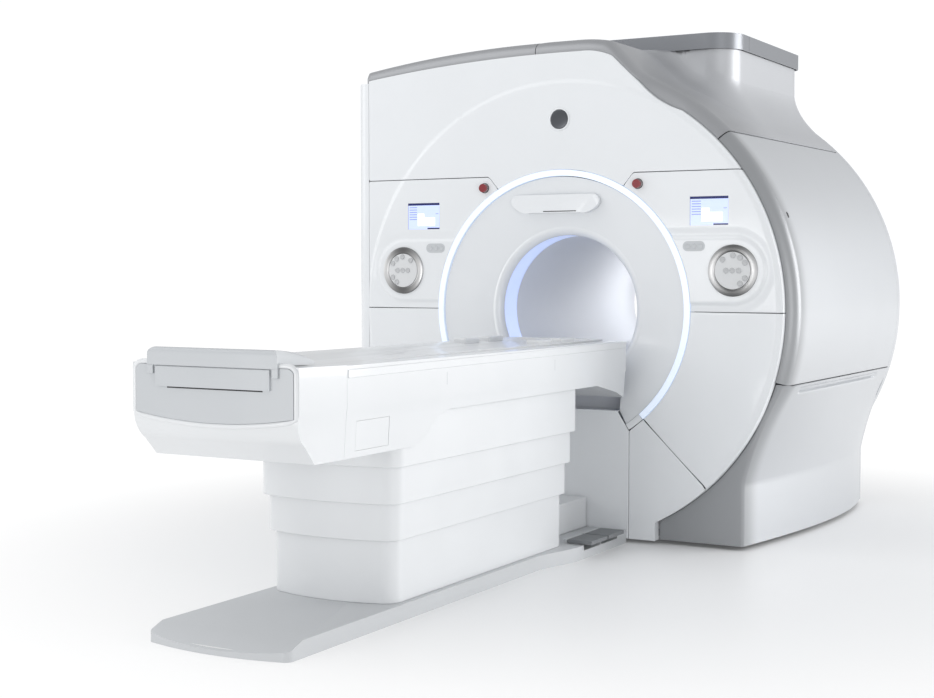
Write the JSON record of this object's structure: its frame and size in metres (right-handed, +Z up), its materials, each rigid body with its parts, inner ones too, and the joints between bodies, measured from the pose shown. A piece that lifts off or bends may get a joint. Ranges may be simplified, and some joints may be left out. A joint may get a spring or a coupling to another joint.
{
  "type": "mri scanner",
  "caption": "Whole-body magnetic resonance scanner: round gantry with a wide patient bore, lit ring and control panels, and a lifting docked table with a sliding cradle.",
  "frame": {"origin": "floor point under the isocentre, at the centre of the magnet's anchor pattern", "axes": "+Y runs from the table into the bore, +X to the right of someone who faces the bore from the table, +Z up"},
  "size_m": [2.3, 4.325, 2.405],
  "materials": {
    "cover_white": "gloss white moulded cover",
    "cover_silver": "satin silver-grey paint",
    "table_white": "semi-gloss white",
    "table_grey": "light grey, fine texture",
    "pedal_grey": "dark grey",
    "light_guide": "lit acrylic light guide",
    "liner_white": "smooth matt liner",
    "estop_red": "dark red push button",
    "dial_metal": "circular brushed ring",
    "keypad": "sealed elastomer",
    "screen_glass": "lit display behind a flat window",
    "stainless": "welded stainless steel",
    "aluminium": "rolled aluminium",
    "copper_winding": "potted superconducting winding",
    "epoxy": "glass-fibre and epoxy potting",
    "frame_steel": "painted frame",
    "roller_rubber": "silicone tyre on a shaft"
  },
  "bodies": {
    "scanner": {"vacuum_vessel": "stainless", "helium_vessel": "stainless", "lift_cylinder": "stainless", "thermal_shield": "aluminium", "cold_head": "aluminium", "suspension_rods": "epoxy", "gradient_coil": "epoxy", "rf_body_coil": "epoxy", "main_coils": "copper_winding", "magnet_feet": "frame_steel", "cover_frame": "frame_steel", "front_top_cover": "cover_white", "control_cover_right": "cover_white", "control_cover_left": "cover_white", "front_side_cover_right": "cover_white", "front_side_cover_left": "cover_white", "front_bottom_cover_right": "cover_white", "front_bottom_cover_left": "cover_white", "front_centre_cover": "cover_white", "funnel": "cover_white", "camera_visor": "cover_white", "left_column": "cover_white", "light_ring": "light_guide", "bore_light_band": "light_guide", "bore_liner": "liner_white", "bore_bridge": "liner_white", "side_cover_upper_right": "cover_silver", "side_cover_upper_left": "cover_silver", "side_cover_lower_right": "cover_silver", "side_cover_lower_left": "cover_silver", "top_cover": "cover_silver", "top_strip_left": "cover_silver", "turret_cap_front": "cover_silver", "turret_cap_rear": "cover_silver", "rear_cover": "cover_silver", "dial_keypads": "keypad", "screens": "screen_glass", "intercom_panels": "table_grey", "skirt_1": "table_white", "base_plate": "table_white", "floor_cover_box": "table_white"},
    "table_body": {"table_chassis": "table_white", "foot_cover": "table_white", "end_plate": "table_grey", "handle": "table_grey", "skirt_4": "table_white", "lift_ram": "stainless", "drive_motor": "stainless"},
    "skirt_lower_middle": {"skirt_2": "table_white"},
    "skirt_upper_middle": {"skirt_3": "table_white"},
    "cradle_board": {"cradle": "table_white"},
    "drive_roller_body": {"drive_roller": "roller_rubber"},
    "estop_right": {"estop_button_right": "estop_red"},
    "estop_left": {"estop_button_left": "estop_red"},
    "dial_right": {"dial_ring_right": "dial_metal"},
    "dial_left": {"dial_ring_left": "dial_metal"},
    "rear_pedal": {"pedal_rear": "pedal_grey"},
    "front_pedal": {"pedal_front": "pedal_grey"},
    "latch": {"latch_lever": "table_grey"},
    "door": {"access_door": "table_white"}
  },
  "joints": [
    {"name": "table_lift", "type": "slide", "parent": "scanner", "child": "table_body", "axis": [0, 0, 1], "range_m": [-0.28, 0]},
    {"name": "skirt_2_slide", "type": "slide", "parent": "scanner", "child": "skirt_lower_middle", "axis": [0, 0, 1], "range_m": [-0.0934, 0]},
    {"name": "skirt_3_slide", "type": "slide", "parent": "scanner", "child": "skirt_upper_middle", "axis": [0, 0, 1], "range_m": [-0.1868, 0]},
    {"name": "cradle_slide", "type": "slide", "parent": "table_body", "child": "cradle_board", "axis": [0, 1, 0], "range_m": [0, 1.7]},
    {"name": "drive_roller_turn", "type": "hinge", "parent": "table_body", "child": "drive_roller_body", "pos_m": [0, -1.875, 0.8201], "axis": [1, 0, 0], "range_deg": [-2440, 2]},
    {"name": "estop_right_press", "type": "slide", "parent": "scanner", "child": "estop_right", "axis": [0, 1, 0], "range_m": [0, 0.005], "stiffness_N_per_m": 2500, "springref_m": -0.003},
    {"name": "estop_left_press", "type": "slide", "parent": "scanner", "child": "estop_left", "axis": [0, 1, 0], "range_m": [0, 0.005], "stiffness_N_per_m": 2500, "springref_m": -0.003},
    {"name": "dial_right_turn", "type": "hinge", "parent": "scanner", "child": "dial_right", "pos_m": [0.855, -0.881, 1.254], "axis": [0, 1, 0], "range_deg": [-35, 35], "stiffness_Nm_per_rad": 0.8},
    {"name": "dial_left_turn", "type": "hinge", "parent": "scanner", "child": "dial_left", "pos_m": [-0.855, -0.881, 1.254], "axis": [0, 1, 0], "range_deg": [-35, 35], "stiffness_Nm_per_rad": 0.8},
    {"name": "rear_pedal_press", "type": "hinge", "parent": "scanner", "child": "rear_pedal", "pos_m": [0.273, -1.2425, 0.07], "axis": [0, 1, 0], "range_deg": [0, 8], "stiffness_Nm_per_rad": 45, "springref_deg": -5.73},
    {"name": "front_pedal_press", "type": "hinge", "parent": "scanner", "child": "front_pedal", "pos_m": [0.273, -1.0645, 0.07], "axis": [0, 1, 0], "range_deg": [0, 8], "stiffness_Nm_per_rad": 45, "springref_deg": -5.73},
    {"name": "latch_squeeze", "type": "hinge", "parent": "table_body", "child": "latch", "pos_m": [0, -3.42465, 0.93765], "axis": [1, 0, 0], "range_deg": [-15, 0], "stiffness_Nm_per_rad": 12, "springref_deg": 5.73},
    {"name": "door_swing", "type": "hinge", "parent": "table_body", "child": "door", "pos_m": [0.342, -2.88, 0.702], "axis": [0, 0, 1], "range_deg": [0, 100]}
  ],
  "couplings": [
    {"joint": "skirt_2_slide", "follows": "table_lift", "ratio": 0.33333},
    {"joint": "skirt_3_slide", "follows": "table_lift", "ratio": 0.66667},
    {"joint": "drive_roller_turn", "follows": "cradle_slide", "rad_per_m": -25}
  ]
}
